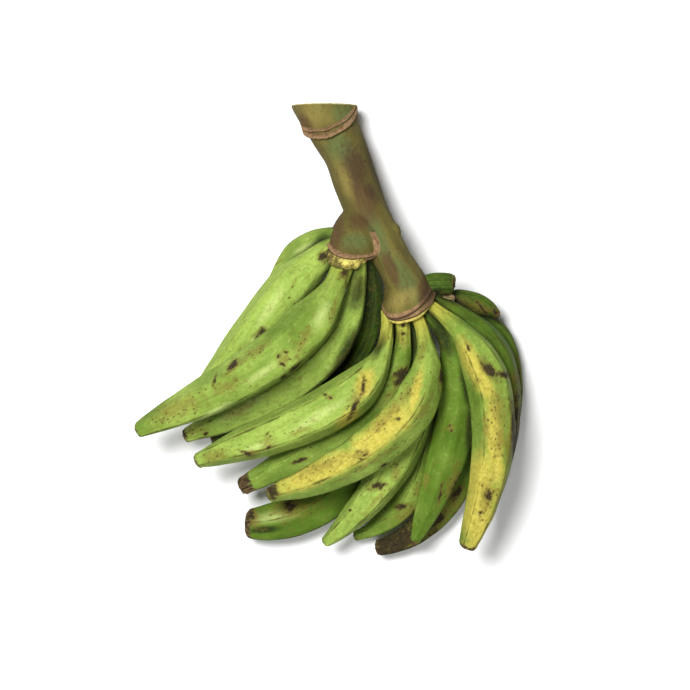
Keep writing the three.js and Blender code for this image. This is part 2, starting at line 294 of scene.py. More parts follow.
# The stalk and the upper crown: rows are x, y, z and radius in mm; past lean_start the rings lean: on the
# last one the front lies end_lean, and the left end_tilt, further on than the middle
STALK = dict(
    lean_start=0.72, end_lean=12, end_tilt=6,
    rows=((-13, 250, 27, 34), (-5, 228, 31, 32), (5, 200, 39, 25.5), (17, 174, 47, 22.6),
          (30, 137, 58, 21.6), (38.5, 115, 65, 21), (51, 92, 71, 19), (63.5, 68, 75, 18),
          (73, 50, 77, 20.8), (76.5, 39, 77, 24), (78, 32, 75.5, 27), (79, 25, 74, 26)))
UPPER_CROWN = dict(
    lean_start=0.0, end_lean=24, end_tilt=11,
    rows=((44, 122, 56, 12), (35, 110, 61, 22.5), (29, 96, 66.5, 27), (23.5, 81, 72, 25.5),
          (20, 73, 76, 19)))

# The sawn end, in mm: its place, how near it the skin counts as sawn, and how far inside it the skin stays
STALK_CUT_Y = 227
SAWN_DEPTH = 0.7
SAWN_INSET = 0.1

# The upper crown's lip curls up beside the stem, as a thin rod that takes over from the scar at LIP_TURN_X
CURL_RADIUS = 2.4
LIP_CURL = dict(
    lean_start=0.0, end_lean=0, end_tilt=0,
    rows=((31, 70.5, 92, 2.2), (40, 72, 88.5, CURL_RADIUS), (45.5, 77, 88, CURL_RADIUS),
          (46, 85, 89.3, 2.2), (42.5, 93, 88.8, 1.2)))
CURL_ROOM = 4
LIP_TURN_X = 44

# Raised scars: at is their share along the rod that they ring. In mm, proud is how far they stand out, half
# their half width, and lean and tilt how much further on the front and the left lie than the middle.
TOP_SCAR = dict(rod=STALK, at=0.135, proud=2.0, half=2.4, lean=28, tilt=4)
LOWER_LIP = dict(rod=STALK, at=0.93, proud=2.0, half=2.2, lean=11, tilt=6)
UPPER_LIP = dict(rod=UPPER_CROWN, at=0.64, proud=1.8, half=2.3, lean=26, tilt=6)
LOWER_FOLD = dict(rod=STALK, at=0.86, proud=1.0, half=1.4, lean=10.5, tilt=7.5)
TOP_FOLD = dict(rod=STALK, at=0.12, proud=0.7, half=1.2, lean=27, tilt=3)
SCARS = (TOP_SCAR, LOWER_LIP, UPPER_LIP, LOWER_FOLD, TOP_FOLD)

# Between which shares of the rod's radius a scar colours the skin, and the groove past its lip: how far
# from the lip its middle is, and its half width, in mm
SCAR_BAND = (0.8, 1.25)
LIP_GROOVE_OFFSET = 0.4
LIP_GROOVE_HALF = 1.5

# Low bumps on the stem's side, and lumps of torn yellow flesh under the upper lip: x, y, z, radius
STALK_BUMPS = ((60, 97, 73, 11), (75, 66, 76, 10))
TORN_FLESH = ((7, 70, 90, 5.5), (10, 68, 93, 6.5), (17, 67, 95, 8), (25, 67, 93, 7), (31, 70, 88, 6))

# Where bare flesh shows: out to this share of the lower crown's radius, up to this far past its lip and
# fading in over this far, and this far round a torn lump, in mm
FLESH_BAND = 1.3
FLESH_LENGTH = 25
FLESH_FADE = 3
FLESH_SPREAD = 2.5

# Marks on the stalk, as above: bruise is brown, purple a darker stain, fresh greener skin, tan yellowish
# skin, and sooty is painted shade, mostly down the stalk's right side and in the crease by the upper crown
STALK_MARKS = dict(
    bruise=((4, 94, 24, 9, 78), (60, 60, 17, 5, -66), (-24, 205, 16, 7, -60), (34, 128, 22, 10, -66),
            (96, 45, 12, 7, 66), (30, 108, 12, 9, 0)),
    purple=((26, 161, 24, 12, -72), (99, 36, 13, 8, 66), (40, 138, 12, 6, -60)),
    fresh=((14, 215, 12, 9, -60), (9, 182, 16, 12, -66), (46, 96, 36, 7, -70), (74, 50, 22, 9, -60),
           (24, 87, 14, 9, 0)),
    tan=((-20, 214, 18, 10, -60), (70, 30, 18, 6, 24), (18, 146, 20, 7, -66)),
    painted_stalk_shade=((52, 152, 48, 9, -67), (100, 50, 14, 4, -50), (45, 88, 14, 2.4, -78)),
)


def srgb(red, green, blue):
    """Linear colour from 0 to 255 display values."""
    def linear(value):
        share = value / 255
        return share / 12.92 if share <= 0.04045 else ((share + 0.055) / 1.055) ** 2.4
    return (linear(red), linear(green), linear(blue), 1.0)


def smoothstep(value, low, high):
    """0 up to low, 1 from high on, and a smooth rise between them."""
    share = np.clip((value - low) / (high - low), 0, 1)
    return share * share * (3 - 2 * share)


def wander(points, wavelength, seed):
    """Smooth noise round 0, seldom past 1.5 either way: a sum of plane waves in random directions."""
    rng = np.random.default_rng(seed)
    directions = rng.normal(size=(WAVES, 3))
    directions *= (2 * math.pi / wavelength) * rng.uniform(0.6, 1.4, (WAVES, 1)) / np.linalg.norm(
        directions, axis=1, keepdims=True)
    phases = rng.uniform(0, 2 * math.pi, WAVES)
    return np.sin(points @ directions.T + phases).sum(axis=1) / math.sqrt(WAVES)


def route_line(corners, shares):
    """Points, tangents and length of the cubic through four points, at shares of its length."""
    a, b, c, d = (np.array(corner, float) for corner in corners)
    first = (-5 * a + 18 * b - 9 * c + 2 * d) / 6
    second = (2 * a - 9 * b + 18 * c - 5 * d) / 6

    def place(t):
        t = t[:, None]
        return (1 - t) ** 3 * a + 3 * (1 - t) ** 2 * t * first + 3 * (1 - t) * t * t * second + t ** 3 * d

    def heading(t):
        t = t[:, None]
        slope = (1 - t) ** 2 * (first - a) + 2 * (1 - t) * t * (second - first) + t * t * (d - second)
        return slope / np.linalg.norm(slope, axis=1, keepdims=True)

    steps = np.linspace(0, 1, ROUTE_STEPS)
    gone = np.concatenate(([0], np.cumsum(np.linalg.norm(np.diff(place(steps), axis=0), axis=1))))
    inside = np.clip(shares, 0, 1)
    t = np.interp(inside, gone / gone[-1], steps)
    tangents = heading(t)
    points = place(t) + tangents * ((shares - inside) * gone[-1])[:, None]
    return points, tangents, gone[-1]


def thick_line(rows, shares):
    """Points, tangents and radii of a uniform Catmull-Rom line through rows of x, y, z, radius."""
    rows = np.array(rows, float)
    padded = np.vstack((2 * rows[0] - rows[1], rows, 2 * rows[-1] - rows[-2]))
    scaled = np.clip(shares, 0, 1) * (len(rows) - 1)
    cell = np.minimum(scaled.astype(int), len(rows) - 2)
    t = (scaled - cell)[:, None]
    p0, p1, p2, p3 = (padded[cell + step] for step in range(4))
    pull_in = (p2 - p0) / 2
    pull_out = (p3 - p1) / 2
    bend = 2 * p1 - 2 * p2 + pull_in + pull_out
    turn = -3 * p1 + 3 * p2 - 2 * pull_in - pull_out
    place = ((bend * t + turn) * t + pull_in) * t + p1
    slope = (3 * bend * t + 2 * turn) * t + pull_in
    tangents = slope[:, :3] / np.linalg.norm(slope[:, :3], axis=1, keepdims=True)
    return place[:, :3], tangents, place[:, 3]


def ring_axes(tangents):
    """Sideways and upward directions square to each tangent."""
    side = np.cross(tangents, (0.0, 0.0, 1.0))
    side /= np.linalg.norm(side, axis=1, keepdims=True)
    rise = np.cross(side, tangents)
    return side, rise


def closed_tube(rings, sides):
    """Faces of a tube of rings by sides points, closed by a fan round one more point at each end."""
    ring = np.arange(rings - 1)[:, None] * sides
    step = np.arange(sides)[None, :]
    after = (step + 1) % sides
    walls = np.stack((ring + step, ring + after, ring + sides + after, ring + sides + step), axis=-1)
    last = (rings - 1) * sides
    start_point = rings * sides
    faces = walls.reshape(-1, 4).tolist()
    faces += [[start_point, (k + 1) % sides, k] for k in range(sides)]
    faces += [[start_point + 1, last + k, last + (k + 1) % sides] for k in range(sides)]
    return faces


def add_object(name, data):
    """An object of a mesh, a light or a camera, in the scene."""
    added = bpy.data.objects.new(name, data)
    bpy.context.collection.objects.link(added)
    return added


def vertex_values(mesh, field):
    """The place, co, or the normal of each vertex of a mesh."""
    values = np.empty(len(mesh.vertices) * 3, np.float32)
    mesh.vertices.foreach_get(field, values)
    return values.reshape(-1, 3)


def make_piece(name, points, faces, fields=None, skin=None):
    """A smooth mesh object from points in millimetres, with float fields and a flat skin coordinate."""
    mesh = bpy.data.meshes.new(name)
    mesh.from_pydata((np.asarray(points) * MM).tolist(), [], faces)
    for field, values in (fields or {}).items():
        layer = mesh.attributes.new(field, "FLOAT", "POINT")
        layer.data.foreach_set("value", np.asarray(values, np.float32))
    if skin is not None:
        layer = mesh.attributes.new("skin", "FLOAT_VECTOR", "POINT")
        layer.data.foreach_set("vector", np.asarray(skin, np.float32).ravel())
    work = bmesh.new()
    work.from_mesh(mesh)
    bmesh.ops.recalc_face_normals(work, faces=work.faces)
    work.to_mesh(mesh)
    work.free()
    mesh.polygons.foreach_set("use_smooth", [True] * len(mesh.polygons))
    return add_object(name, mesh)


def mark_field(points, upper, marks):
    """1 at the middle of a mark, 0 on its edge and down to -1 outside, on the upper side alone."""
    field = np.full(len(points), -1.0)
    for x, y, half_length, half_width, direction in marks:
        turn = math.radians(direction)
        dx = points[:, 0] - x
        dy = points[:, 1] - y
        along = (dx * math.cos(turn) + dy * math.sin(turn)) / half_length
        across = (dy * math.cos(turn) - dx * math.sin(turn)) / half_width
        field = np.maximum(field, 1 - np.hypot(along, across))
    return np.where(upper, field, -1.0)


def girth_share(along, look):
    """Radius of a finger at a share of its length, as a share of its belly."""
    neck = look.get("neck", NECK_SHARE)
    filled = smoothstep(along, NECK_END, look.get("fills", BELLY_START))
    past = np.clip((along - BELLY_START) / (1 - BELLY_START), 0, 1)
    taper = 1 - (1 - look["tip"]) * past ** look.get("taper", TAPER_POWER)
    return (neck + (1 - neck) * filled) * taper


def gap_to_others(name, points):
    """How far each point lies outside the nearest other finger, in mm."""
    shares = np.linspace(0, 1, GAP_STEPS)
    gap = np.full(len(points), np.inf)
    for other, look in FINGERS.items():
        if other == name:
            continue
        line, _, _ = route_line(look["route"], shares)
        radii = look["belly"] * girth_share(shares, look)
        square = (points ** 2).sum(axis=1)[:, None] + (line ** 2).sum(axis=1) - 2 * points @ line.T
        gap = np.minimum(gap, (np.sqrt(np.maximum(square, 0)) - radii).min(axis=1))
    return gap


def section_share(angle, along):
    """Rounded five-sided section, fading into a round neck, and the angle to the nearest ridge."""
    middles = (np.arange(RIDGES) + 0.5) * 2 * math.pi / RIDGES
    pull = (np.maximum(0, np.cos(angle[..., None] - middles)) ** RIDGE_SHARPNESS).sum(axis=-1)
    ridged = pull ** (-1 / RIDGE_SHARPNESS) / RIDGE_MEAN
    fade = smoothstep(along, *RIDGE_FADE)
    spacing = 2 * math.pi / RIDGES
    off_ridge = np.abs((angle + spacing / 2) % spacing - spacing / 2)
    return 1 + (ridged - 1) * fade, off_ridge


def finger_radius(along, length, look):
    """Mean radius at each point, with the end rounded off and then closed by shrinking rings."""
    radius = look["belly"] * girth_share(along, look)
    corner = 0.5 * look["belly"] * look["tip"]
    left = np.clip(1 - along, 0, 1) * length
    inset = np.clip(corner - left, 0, corner)
    radius -= corner - np.sqrt(np.maximum(corner ** 2 - inset ** 2, 0))
    radius[-END_RINGS:] *= np.linspace(*END_SHRINK, END_RINGS)[:, None]
    return radius


def peel_relief(flat_skin, angle, along, length, look, seed):
    """Height of the skin over the plain form, and the crumpling that shows on a dry tip."""
    def noise(stretch, wavelength, number):
        return wander(flat_skin * stretch, wavelength, seed + number).reshape(angle.shape)

    swell = noise((1, 1, 1), SWELL_LENGTH, 0)
    ripple = noise((1, 1, 0.25), RIPPLE_LENGTH, 1)
    crumple = noise((1, 1, 0.4), CRUMPLE_LENGTH, 2)
    drift = noise((0.2, 0.2, 1), GROOVE_LENGTH, 3)
    on_neck = 1 - smoothstep(along, *GROOVE_FADE)
    on_tip = smoothstep(along * length, length - look["ends"] * 0.6 - 3, length - 1)
    groove = np.cos(NECK_GROOVES * angle + GROOVE_DRIFT * drift)
    relief = (SWELL_HEIGHT * swell + RIPPLE_HEIGHT * ripple + GROOVE_HEIGHT * on_neck * groove
              + CRUMPLE_HEIGHT * on_tip * crumple - SKIN_INSET)
    return relief, crumple


def finger_piece(name, look, seed):
    """One finger: ridged and tapered along its route, with a grooved neck and a rough dry tip."""
    shares = np.concatenate((np.linspace(-ROOT_SHARE, TIP_START, FINGER_RINGS),
                             np.linspace(TIP_START, 1, TIP_RINGS)[1:], np.ones(END_RINGS)))
    points, tangents, length = route_line(look["route"], shares)
    side, rise = ring_axes(tangents)
    around = np.linspace(0, 2 * math.pi, FINGER_SIDES, endpoint=False)
    angle, along = np.meshgrid(around, shares)
    turned = angle + math.radians(look["turn"])
    share, off_ridge = section_share(angle, along)
    radius = finger_radius(along, length, look)
    skin = np.stack((radius * np.sin(angle), radius * np.cos(angle), along * length), axis=-1).reshape(-1, 3)
    relief, crumple = peel_relief(skin, angle, along, length, look, seed)

    reach = radius * share + relief * np.clip(radius / FULL_RELIEF_RADIUS, 0, 1)
    body = points[:, None, :] + reach[..., None] * (
        side[:, None, :] * np.sin(turned)[..., None] + rise[:, None, :] * np.cos(turned)[..., None])
    ragged = RAGGED_HEIGHT * crumple[-END_RINGS:] - RAGGED_SET_BACK
    body[-END_RINGS:] += ragged[..., None] * tangents[-END_RINGS:, None, :]
    caps = np.stack((points[0], points[-1] - CAP_DIMPLE * tangents[-1]))
    vertices = np.vstack((body.reshape(-1, 3), caps))
    vertices[:, 2] = np.maximum(vertices[:, 2], LOWEST)
    skin = np.vstack((skin, ((0, 0, shares[0] * length), (0, 0, length)))) + seed * SKIN_SHIFT

    def with_caps(values, start, end):
        return np.concatenate((values.ravel(), (start, end)))

    left = np.clip(1 - along, 0, 1) * length
    off_line = off_ridge * radius + OFF_RIDGE * (1 - smoothstep(along, *RIDGE_FADE))
    if "bare" in look:
        off_line += OFF_RIDGE * ((np.sin(turned) > 0) | (look["bare"] == "both"))
    fields = dict(
        along=with_caps(along, shares[0], 1),
        crest=with_caps(off_line, OFF_RIDGE, OFF_RIDGE),
        dry=with_caps((look["ends"] - left) / DRY_FADE + 0.1, -1, 1).clip(-1, 1),
        tone_and_shade=np.full(len(vertices), look["tone_and_shade"]),
        blond=np.full(len(vertices), look.get("blond", 0)),
        # gap, the distance to the nearest other finger, sets the painted shade where fingers meet
        gap=gap_to_others(name, vertices),
    )
    upper = with_caps(np.cos(turned), 0, 0) > FINGER_MARK_REACH
    for kind in MARK_KINDS:
        fields[kind] = mark_field(vertices, upper, MARKS.get(name, {}).get(kind, ()))
    return make_piece(name + "_skin", vertices, closed_tube(len(shares), FINGER_SIDES), fields, skin)


def rod_mesh(name, rod, rings):
    """A closed tube of changing thickness along a rod, whose last rings lean."""
    shares = np.linspace(0, 1, rings)
    points, tangents, radii = thick_line(rod["rows"], shares)
    side, rise = ring_axes(tangents)
    around = np.linspace(0, 2 * math.pi, ROD_SIDES, endpoint=False)
    started = smoothstep(shares, rod["lean_start"], 1)[:, None]
    slide = started * (rod["end_lean"] * np.cos(around) + rod["end_tilt"] * np.sin(around))
    body = points[:, None, :] + radii[:, None, None] * (
        side[:, None, :] * np.sin(around)[:, None] + rise[:, None, :] * np.cos(around)[:, None])
    body += tangents[:, None, :] * slide[..., None]
    vertices = np.vstack((body.reshape(-1, 3), points[0], points[-1]))
    return make_piece(name, vertices, closed_tube(rings, ROD_SIDES))


def place_on_rod(rod, at):
    """Centre, direction, radius and the sideways and upward directions of a rod, at a share of it."""
    point, tangent, radius = (part[0] for part in thick_line(rod["rows"], np.array([at])))
    side, rise = (axis[0] for axis in ring_axes(tangent[None, :]))
    return point, tangent, radius, side, rise


def scar_mesh(name, rod, at, proud, half, lean, tilt):
    """A thick disc with a rounded, slightly uneven rim that stands out of the rod all round."""
    point, tangent, radius, side, rise = place_on_rod(rod, at)
    outline = ((-half, -SCAR_ROOT), (-0.75 * half, 0.4 * proud), (-0.2 * half, proud),
               (0.45 * half, 0.9 * proud), (half, -SCAR_ROOT))
    around = np.linspace(0, 2 * math.pi, ROD_SIDES, endpoint=False)
    uneven = 1 + 0.14 * np.sin(5 * around + at * 40) + 0.06 * np.sin(11 * around + at * 90)
    rings = []
    for height, stand in outline:
        reach = radius + (stand * uneven if stand > 0 else stand)
        slide = height + (lean * np.cos(around) + tilt * np.sin(around)) * reach / radius
        rings.append(point + (reach * np.sin(around))[:, None] * side
                     + (reach * np.cos(around))[:, None] * rise + slide[:, None] * tangent)
    vertices = np.vstack(rings + [point - half * tangent, point + half * tangent])
    return make_piece(name, vertices, closed_tube(len(outline), ROD_SIDES))


def ball_mesh(name, x, y, z, radius):
    """A plain ball, to be fused into what it stands out of."""
    mesh = bpy.data.meshes.new(name)
    work = bmesh.new()
    bmesh.ops.create_uvsphere(work, u_segments=24, v_segments=14, radius=radius * MM)
    bmesh.ops.translate(work, verts=work.verts, vec=(x * MM, y * MM, z * MM))
    work.to_mesh(mesh)
    work.free()
    return add_object(name, mesh)


def stalk_forms():
    """The overlapping closed forms that the stalk is fused from."""
    forms = [rod_mesh("stalk_rod", STALK, 180), rod_mesh("crown_rod", UPPER_CROWN, 60),
             rod_mesh("curl_rod", LIP_CURL, 40)]
    forms += [scar_mesh("scar_%d" % index, **scar) for index, scar in enumerate(SCARS)]
    forms += [ball_mesh("bump_%d" % index, *bump) for index, bump in enumerate(STALK_BUMPS + TORN_FLESH)]
    return forms


def joined_arrays(pieces):
    """One set of points and faces from several meshes, which are then removed."""
    points = []
    faces = []
    base = 0
    for piece in pieces:
        mesh = piece.data
        points.append(vertex_values(mesh, "co") / MM)
        faces += [[base + index for index in face.vertices] for face in mesh.polygons]
        base += len(mesh.vertices)
        bpy.data.objects.remove(piece)
        bpy.data.meshes.remove(mesh)
    return np.vstack(points), faces


def saw_off(piece):
    """Cuts everything beyond the saw cut away and closes what is left."""
    work = bmesh.new()
    work.from_mesh(piece.data)
    everything = work.verts[:] + work.edges[:] + work.faces[:]
    sawn = bmesh.ops.bisect_plane(
        work, geom=everything, plane_co=(0, STALK_CUT_Y * MM, 0), plane_no=(0, 1, 0), clear_outer=True)
    rim = [part for part in sawn["geom_cut"] if isinstance(part, bmesh.types.BMEdge)]
    bmesh.ops.holes_fill(work, edges=rim, sides=0)
    work.to_mesh(piece.data)
    work.free()
    return piece


def fuse(piece):
    """Points and faces of one skin round a piece's overlapping forms, softened where they meet."""
    remesh = piece.modifiers.new("fuse", "REMESH")
    remesh.mode = "VOXEL"
    remesh.voxel_size = STALK_VOXEL
    soften = piece.modifiers.new("soften", "SMOOTH")
    soften.factor = 0.5
    soften.iterations = 5
    graph = bpy.context.evaluated_depsgraph_get()
    solid = bpy.data.meshes.new_from_object(piece.evaluated_get(graph))
    points = vertex_values(solid, "co").astype(float) / MM
    faces = [list(face.vertices) for face in solid.polygons]
    old = piece.data
    bpy.data.objects.remove(piece)
    bpy.data.meshes.remove(old)
    bpy.data.meshes.remove(solid)
    return points, faces


def point_normals(points, faces):
    """Outward direction of a closed mesh at each of its points."""
    mesh = bpy.data.meshes.new("normals")
    mesh.from_pydata(points.tolist(), [], faces)
    normals = vertex_values(mesh, "normal")
    bpy.data.meshes.remove(mesh)
    return normals


def nearest_on_rod(rod, points):
    """Distance along a rod in mm, angle round it from its upper side, and distance out, for each point."""
    line, tangents, _ = thick_line(rod["rows"], np.linspace(0, 1, ROD_STEPS))
    gone = np.concatenate(([0], np.cumsum(np.linalg.norm(np.diff(line, axis=0), axis=1))))
    side, rise = ring_axes(tangents)
    nearest = np.empty(len(points), int)
    for first in range(0, len(points), POINT_BLOCK):
        block = points[first:first + POINT_BLOCK]
        square = ((block[:, None, :] - line[None]) ** 2).sum(axis=2)
        nearest[first:first + POINT_BLOCK] = square.argmin(axis=1)
    away = points - line[nearest]
    across = (away * side[nearest]).sum(axis=1)
    above = (away * rise[nearest]).sum(axis=1)
    ahead = (away * tangents[nearest]).sum(axis=1)
    return gone[nearest] + ahead, np.arctan2(across, above), np.hypot(across, above)


def past_scar(points, scar):
    """How far each point lies beyond the leaning plane of a scar, in mm along the rod."""
    point, tangent, radius, side, rise = place_on_rod(scar["rod"], scar["at"])
    away = points - point
    return away @ tangent - (scar["lean"] * (away @ rise) + scar["tilt"] * (away @ side)) / radius


def by_the_curl(points):
    """Whether each point is in the box round the lip's curl, with room for the curl's thickness."""
    corners = np.array(LIP_CURL["rows"])[:, :3]
    low = corners.min(axis=0) - CURL_ROOM
    high = corners.max(axis=0) + CURL_ROOM
    return ((points > low) & (points < high)).all(axis=1)


def lip_fields(points, out):
    """The scar lips and the grooves just past them: 1 in the middle, 0 at the edge, -1 outside."""
    lips = np.full(len(points), -1.0)
    below = np.full(len(points), -1.0)
    for scar in SCARS:
        _, _, radius, _, _ = place_on_rod(scar["rod"], scar["at"])
        reach = out if scar["rod"] is STALK else nearest_on_rod(scar["rod"], points)[2]
        near = (reach > radius * SCAR_BAND[0]) & (reach < radius * SCAR_BAND[1])
        if scar["rod"] is UPPER_CROWN:
            near &= points[:, 0] < LIP_TURN_X
        offset = past_scar(points, scar)
        lip = (1 - np.abs(offset) / (scar["half"] + 1)) * min(1, scar["proud"])
        groove = 1 - np.abs(offset - scar["half"] - LIP_GROOVE_OFFSET) / LIP_GROOVE_HALF
        lips = np.maximum(lips, np.where(near, lip, -1))
        below = np.maximum(below, np.where(near, groove, -1))
    _, _, off_curl = nearest_on_rod(LIP_CURL, points)
    lips = np.maximum(lips, np.where(by_the_curl(points), 1.7 - off_curl / CURL_RADIUS, -1))
    return lips.clip(-1, 1), below.clip(-1, 1)


def flesh_field(points, out):
    """Bare yellow flesh past the lower crown's lip and on the torn lumps under the upper one's."""
    _, _, radius, _, _ = place_on_rod(STALK, LOWER_LIP["at"])
    past = past_scar(points, LOWER_LIP)
    on_crown = (out < radius * FLESH_BAND) & (past < FLESH_LENGTH)
    flesh = np.where(on_crown, np.maximum(-1, (past - LOWER_LIP["half"]) / FLESH_FADE), -1)
    under_lip = past_scar(points, UPPER_LIP) > UPPER_LIP["half"]
    for x, y, z, lump in TORN_FLESH:
        nearness = 1 - np.linalg.norm(points - (x, y, z), axis=1) / (lump + FLESH_SPREAD)
        flesh = np.maximum(flesh, np.where(under_lip, nearness, -1))
    return flesh.clip(-1, 1)


def stalk_relief(points, skin, lips, below):
    """Height of the stalk's skin over its fused form: fibres, lumps, rough lips and grooves."""
    fibres = wander(skin * (1, 1, 0.06), 2.6, SEED + 5) + 0.8 * wander(skin * (1, 1, 0.1), 5.5, SEED + 6)
    lumps = wander(skin * (1, 1, 0.5), 22, SEED + 7)
    on_lips = np.maximum(lips, 0)
    relief = FIBRE_HEIGHT * fibres + LUMP_HEIGHT * lumps + LIP_HEIGHT * on_lips * wander(points, 5, SEED + 8)
    return relief - LIP_GROOVE_DEPTH * np.maximum(below, 0)


def stalk_piece():
    """The stalk with both crowns and their scars in one skin, with lengthwise fibres."""
    points, faces = fuse(saw_off(make_piece("stalk_parts", *joined_arrays(stalk_forms()))))
    gone, turn, out = nearest_on_rod(STALK, points)
    skin = np.stack((out * np.sin(turn), out * np.cos(turn), gone), axis=1)
    lips, below = lip_fields(points, out)
    flesh = flesh_field(points, out)
    normals = point_normals(points, faces)
    cut = points[:, 1] > STALK_CUT_Y - SAWN_DEPTH
    relief = np.where(cut, 0, stalk_relief(points, skin, lips, below))
    points = points + normals * relief[:, None]
    points[:, 1] = np.minimum(points[:, 1], STALK_CUT_Y - SAWN_INSET)
    points[:, 2] = np.maximum(points[:, 2], LOWEST)

    fields = dict(lips=lips, below=below, flesh=flesh, cut=cut.astype(float))
    upper = normals[:, 2] > STALK_MARK_REACH
    for kind, marks in STALK_MARKS.items():
        fields[kind] = mark_field(points, upper, marks)
    return make_piece("stalk_skin", points, faces, fields, skin + STALK_SHIFT)


class Shade:
    """The node graph of one material, built by short calls that return sockets."""

    def __init__(self, name):
        self.material = bpy.data.materials.new(name)
        self.material.use_nodes = True
        self.tree = self.material.node_tree
        self.shader = self.tree.nodes["Principled BSDF"]

    def new(self, kind):
        """A shader node, by the last part of its type's name."""
        return self.tree.nodes.new("ShaderNode" + kind)

    def plug(self, socket, value):
        if isinstance(value, bpy.types.NodeSocket):
            self.tree.links.new(value, socket)
        else:
            socket.default_value = value

    def field(self, name):
        node = self.new("Attribute")
        node.attribute_name = name
        return node.outputs["Fac"]

    def texture(self, kind, size, stretch):
        """A texture on the flat skin with features of about size millimetres."""
        place = self.new("Attribute")
        place.attribute_name = "skin"
        scale = self.new("Mapping")
        scale.inputs["Scale"].default_value = stretch
        self.plug(scale.inputs["Vector"], place.outputs["Vector"])
        node = self.new(kind)
        self.plug(node.inputs["Vector"], scale.outputs["Vector"])
        node.inputs["Scale"].default_value = 1 / size
        return node

    def noise(self, size, stretch=(1, 1, 1), detail=3.0, roughness=0.55):
        """Noise from 0 to 1."""
        node = self.texture("TexNoise", size, stretch)
        node.inputs["Detail"].default_value = detail
        node.inputs["Roughness"].default_value = roughness
        return node.outputs["Fac"]

    def cells(self, size, stretch=(1, 1, 1)):
        """Distance to the nearest seed point, and a number for each cell."""
        node = self.texture("TexVoronoi", size, stretch)
        pick = self.new("SeparateColor")
        self.plug(pick.inputs["Color"], node.outputs["Color"])
        return node.outputs["Distance"], pick.outputs["Red"]

    def math(self, operation, one, other):
        node = self.new("Math")
        node.operation = operation
        self.plug(node.inputs[0], one)
        self.plug(node.inputs[1], other)
        return node.outputs[0]

    def add(self, one, other):
        return self.math("ADD", one, other)

    def times(self, one, other):
        return self.math("MULTIPLY", one, other)

    def larger(self, one, other):
        return self.math("MAXIMUM", one, other)

    def swing(self, noise, width):
        """A noise from 0 to 1 made to swing round 0, over the given width."""
        return self.times(self.add(noise, -0.5), width)

    def step(self, value, low, high, bottom=0.0, top=1.0):
        """Smooth ramp from bottom, where value is low, to top, where it is high."""
        node = self.new("MapRange")
        node.interpolation_type = "SMOOTHSTEP"
        self.plug(node.inputs["Value"], value)
        node.inputs["From Min"].default_value = low
        node.inputs["From Max"].default_value = high
        node.inputs["To Min"].default_value = bottom
        node.inputs["To Max"].default_value = top
        return node.outputs["Result"]

    def fall(self, value, low, high, bottom=1.0):
        """Smooth ramp from bottom, where value is low, down to 0, where it is high."""
        return self.step(value, low, high, bottom, 0.0)

    def cover(self, field, uneven, low, high, top=1.0):
        """How much a field covers the skin, up to top, when an uneven value has roughened its edge."""
        return self.step(self.add(self.field(field), uneven), low, high, top=top)

    def mix(self, share, one, other):
        node = self.new("Mix")
        node.data_type = "RGBA"
        self.plug(node.inputs["Factor"], share)
        self.plug(node.inputs["A"], one)
        self.plug(node.inputs["B"], other)
        return node.outputs["Result"]

    def finish(self, color, roughness, height, depth):
        """Plugs the colour, the roughness and a bump of the given depth in metres."""
        bump = self.new("Bump")
        bump.inputs["Distance"].default_value = depth
        self.plug(bump.inputs["Height"], height)
        self.plug(self.shader.inputs["Base Color"], color)
        self.plug(self.shader.inputs["Roughness"], roughness)
        self.plug(self.shader.inputs["Normal"], bump.outputs["Normal"])
        return self.material


def green_skin(shade, broad, streak, mottle):
    """Deep to light green, patchy over centimetres, drawn out along the finger and finely mottled."""
    # tone is partly the peel's own green and partly painted shade, set low on fingers in the shade of others
    tone_and_shade = shade.add(shade.field("tone_and_shade"), shade.swing(broad, 1.1))
    green = shade.mix(shade.step(tone_and_shade, -0.5, 0.25), srgb(24, 40, 4), srgb(72, 102, 16))
    green = shade.mix(shade.step(tone_and_shade, 0.1, 1.0), green, srgb(146, 170, 74))
    green = shade.mix(shade.step(streak, 0.4, 0.75, top=0.4), green, srgb(88, 120, 32))
    # The light mottle is partly the peel's own mottling and partly a painted sheen
    light = shade.times(shade.step(mottle, 0.5, 0.8, top=0.4), shade.step(tone_and_shade, 0.0, 0.8, bottom=0.2))
    return shade.mix(light, green, srgb(172, 187, 106))


def yellow_skin(shade, mottle, edge):
    """Ripening yellow, finely mottled, with ochre smudges."""
    yellow = shade.mix(shade.step(mottle, 0.2, 0.9), srgb(168, 158, 58), srgb(198, 184, 86))
    return shade.mix(shade.step(edge, 0.52, 0.8, top=0.4), yellow, srgb(160, 124, 46))


def sound_skin(shade, broad, streak, mottle, edge, ragged):
    """Unhurt peel: green, with painted shade and painted sheen where marked so, yellow where it ripens and
    blond at the neck.
    """
    color = green_skin(shade, broad, streak, mottle)
    # Painted shade: dark green where a finger lies in the shade of others
    painted_shade = shade.cover("painted_shade", shade.times(ragged, 0.3), -0.1, 0.7, top=0.9)
    color = shade.mix(painted_shade, color, srgb(14, 26, 0))
    # Painted sheen, and painted light on flanks that would lie in shade
    pale = shade.cover("pale", shade.times(ragged, 0.3), 0.0, 1.0, top=0.6)
    color = shade.mix(pale, color, srgb(190, 204, 124))
    ripe = shade.add(shade.field("ripe"), shade.swing(broad, 0.9))
    ripe = shade.step(shade.add(ripe, shade.times(ragged, 0.4)), -0.15, 0.6, top=0.95)
    color = shade.mix(ripe, color, yellow_skin(shade, mottle, edge))
    neck = shade.fall(shade.add(shade.field("along"), shade.swing(streak, 0.08)), 0.0, 0.14)
    return shade.mix(shade.times(neck, shade.field("blond")), color, srgb(168, 160, 62))


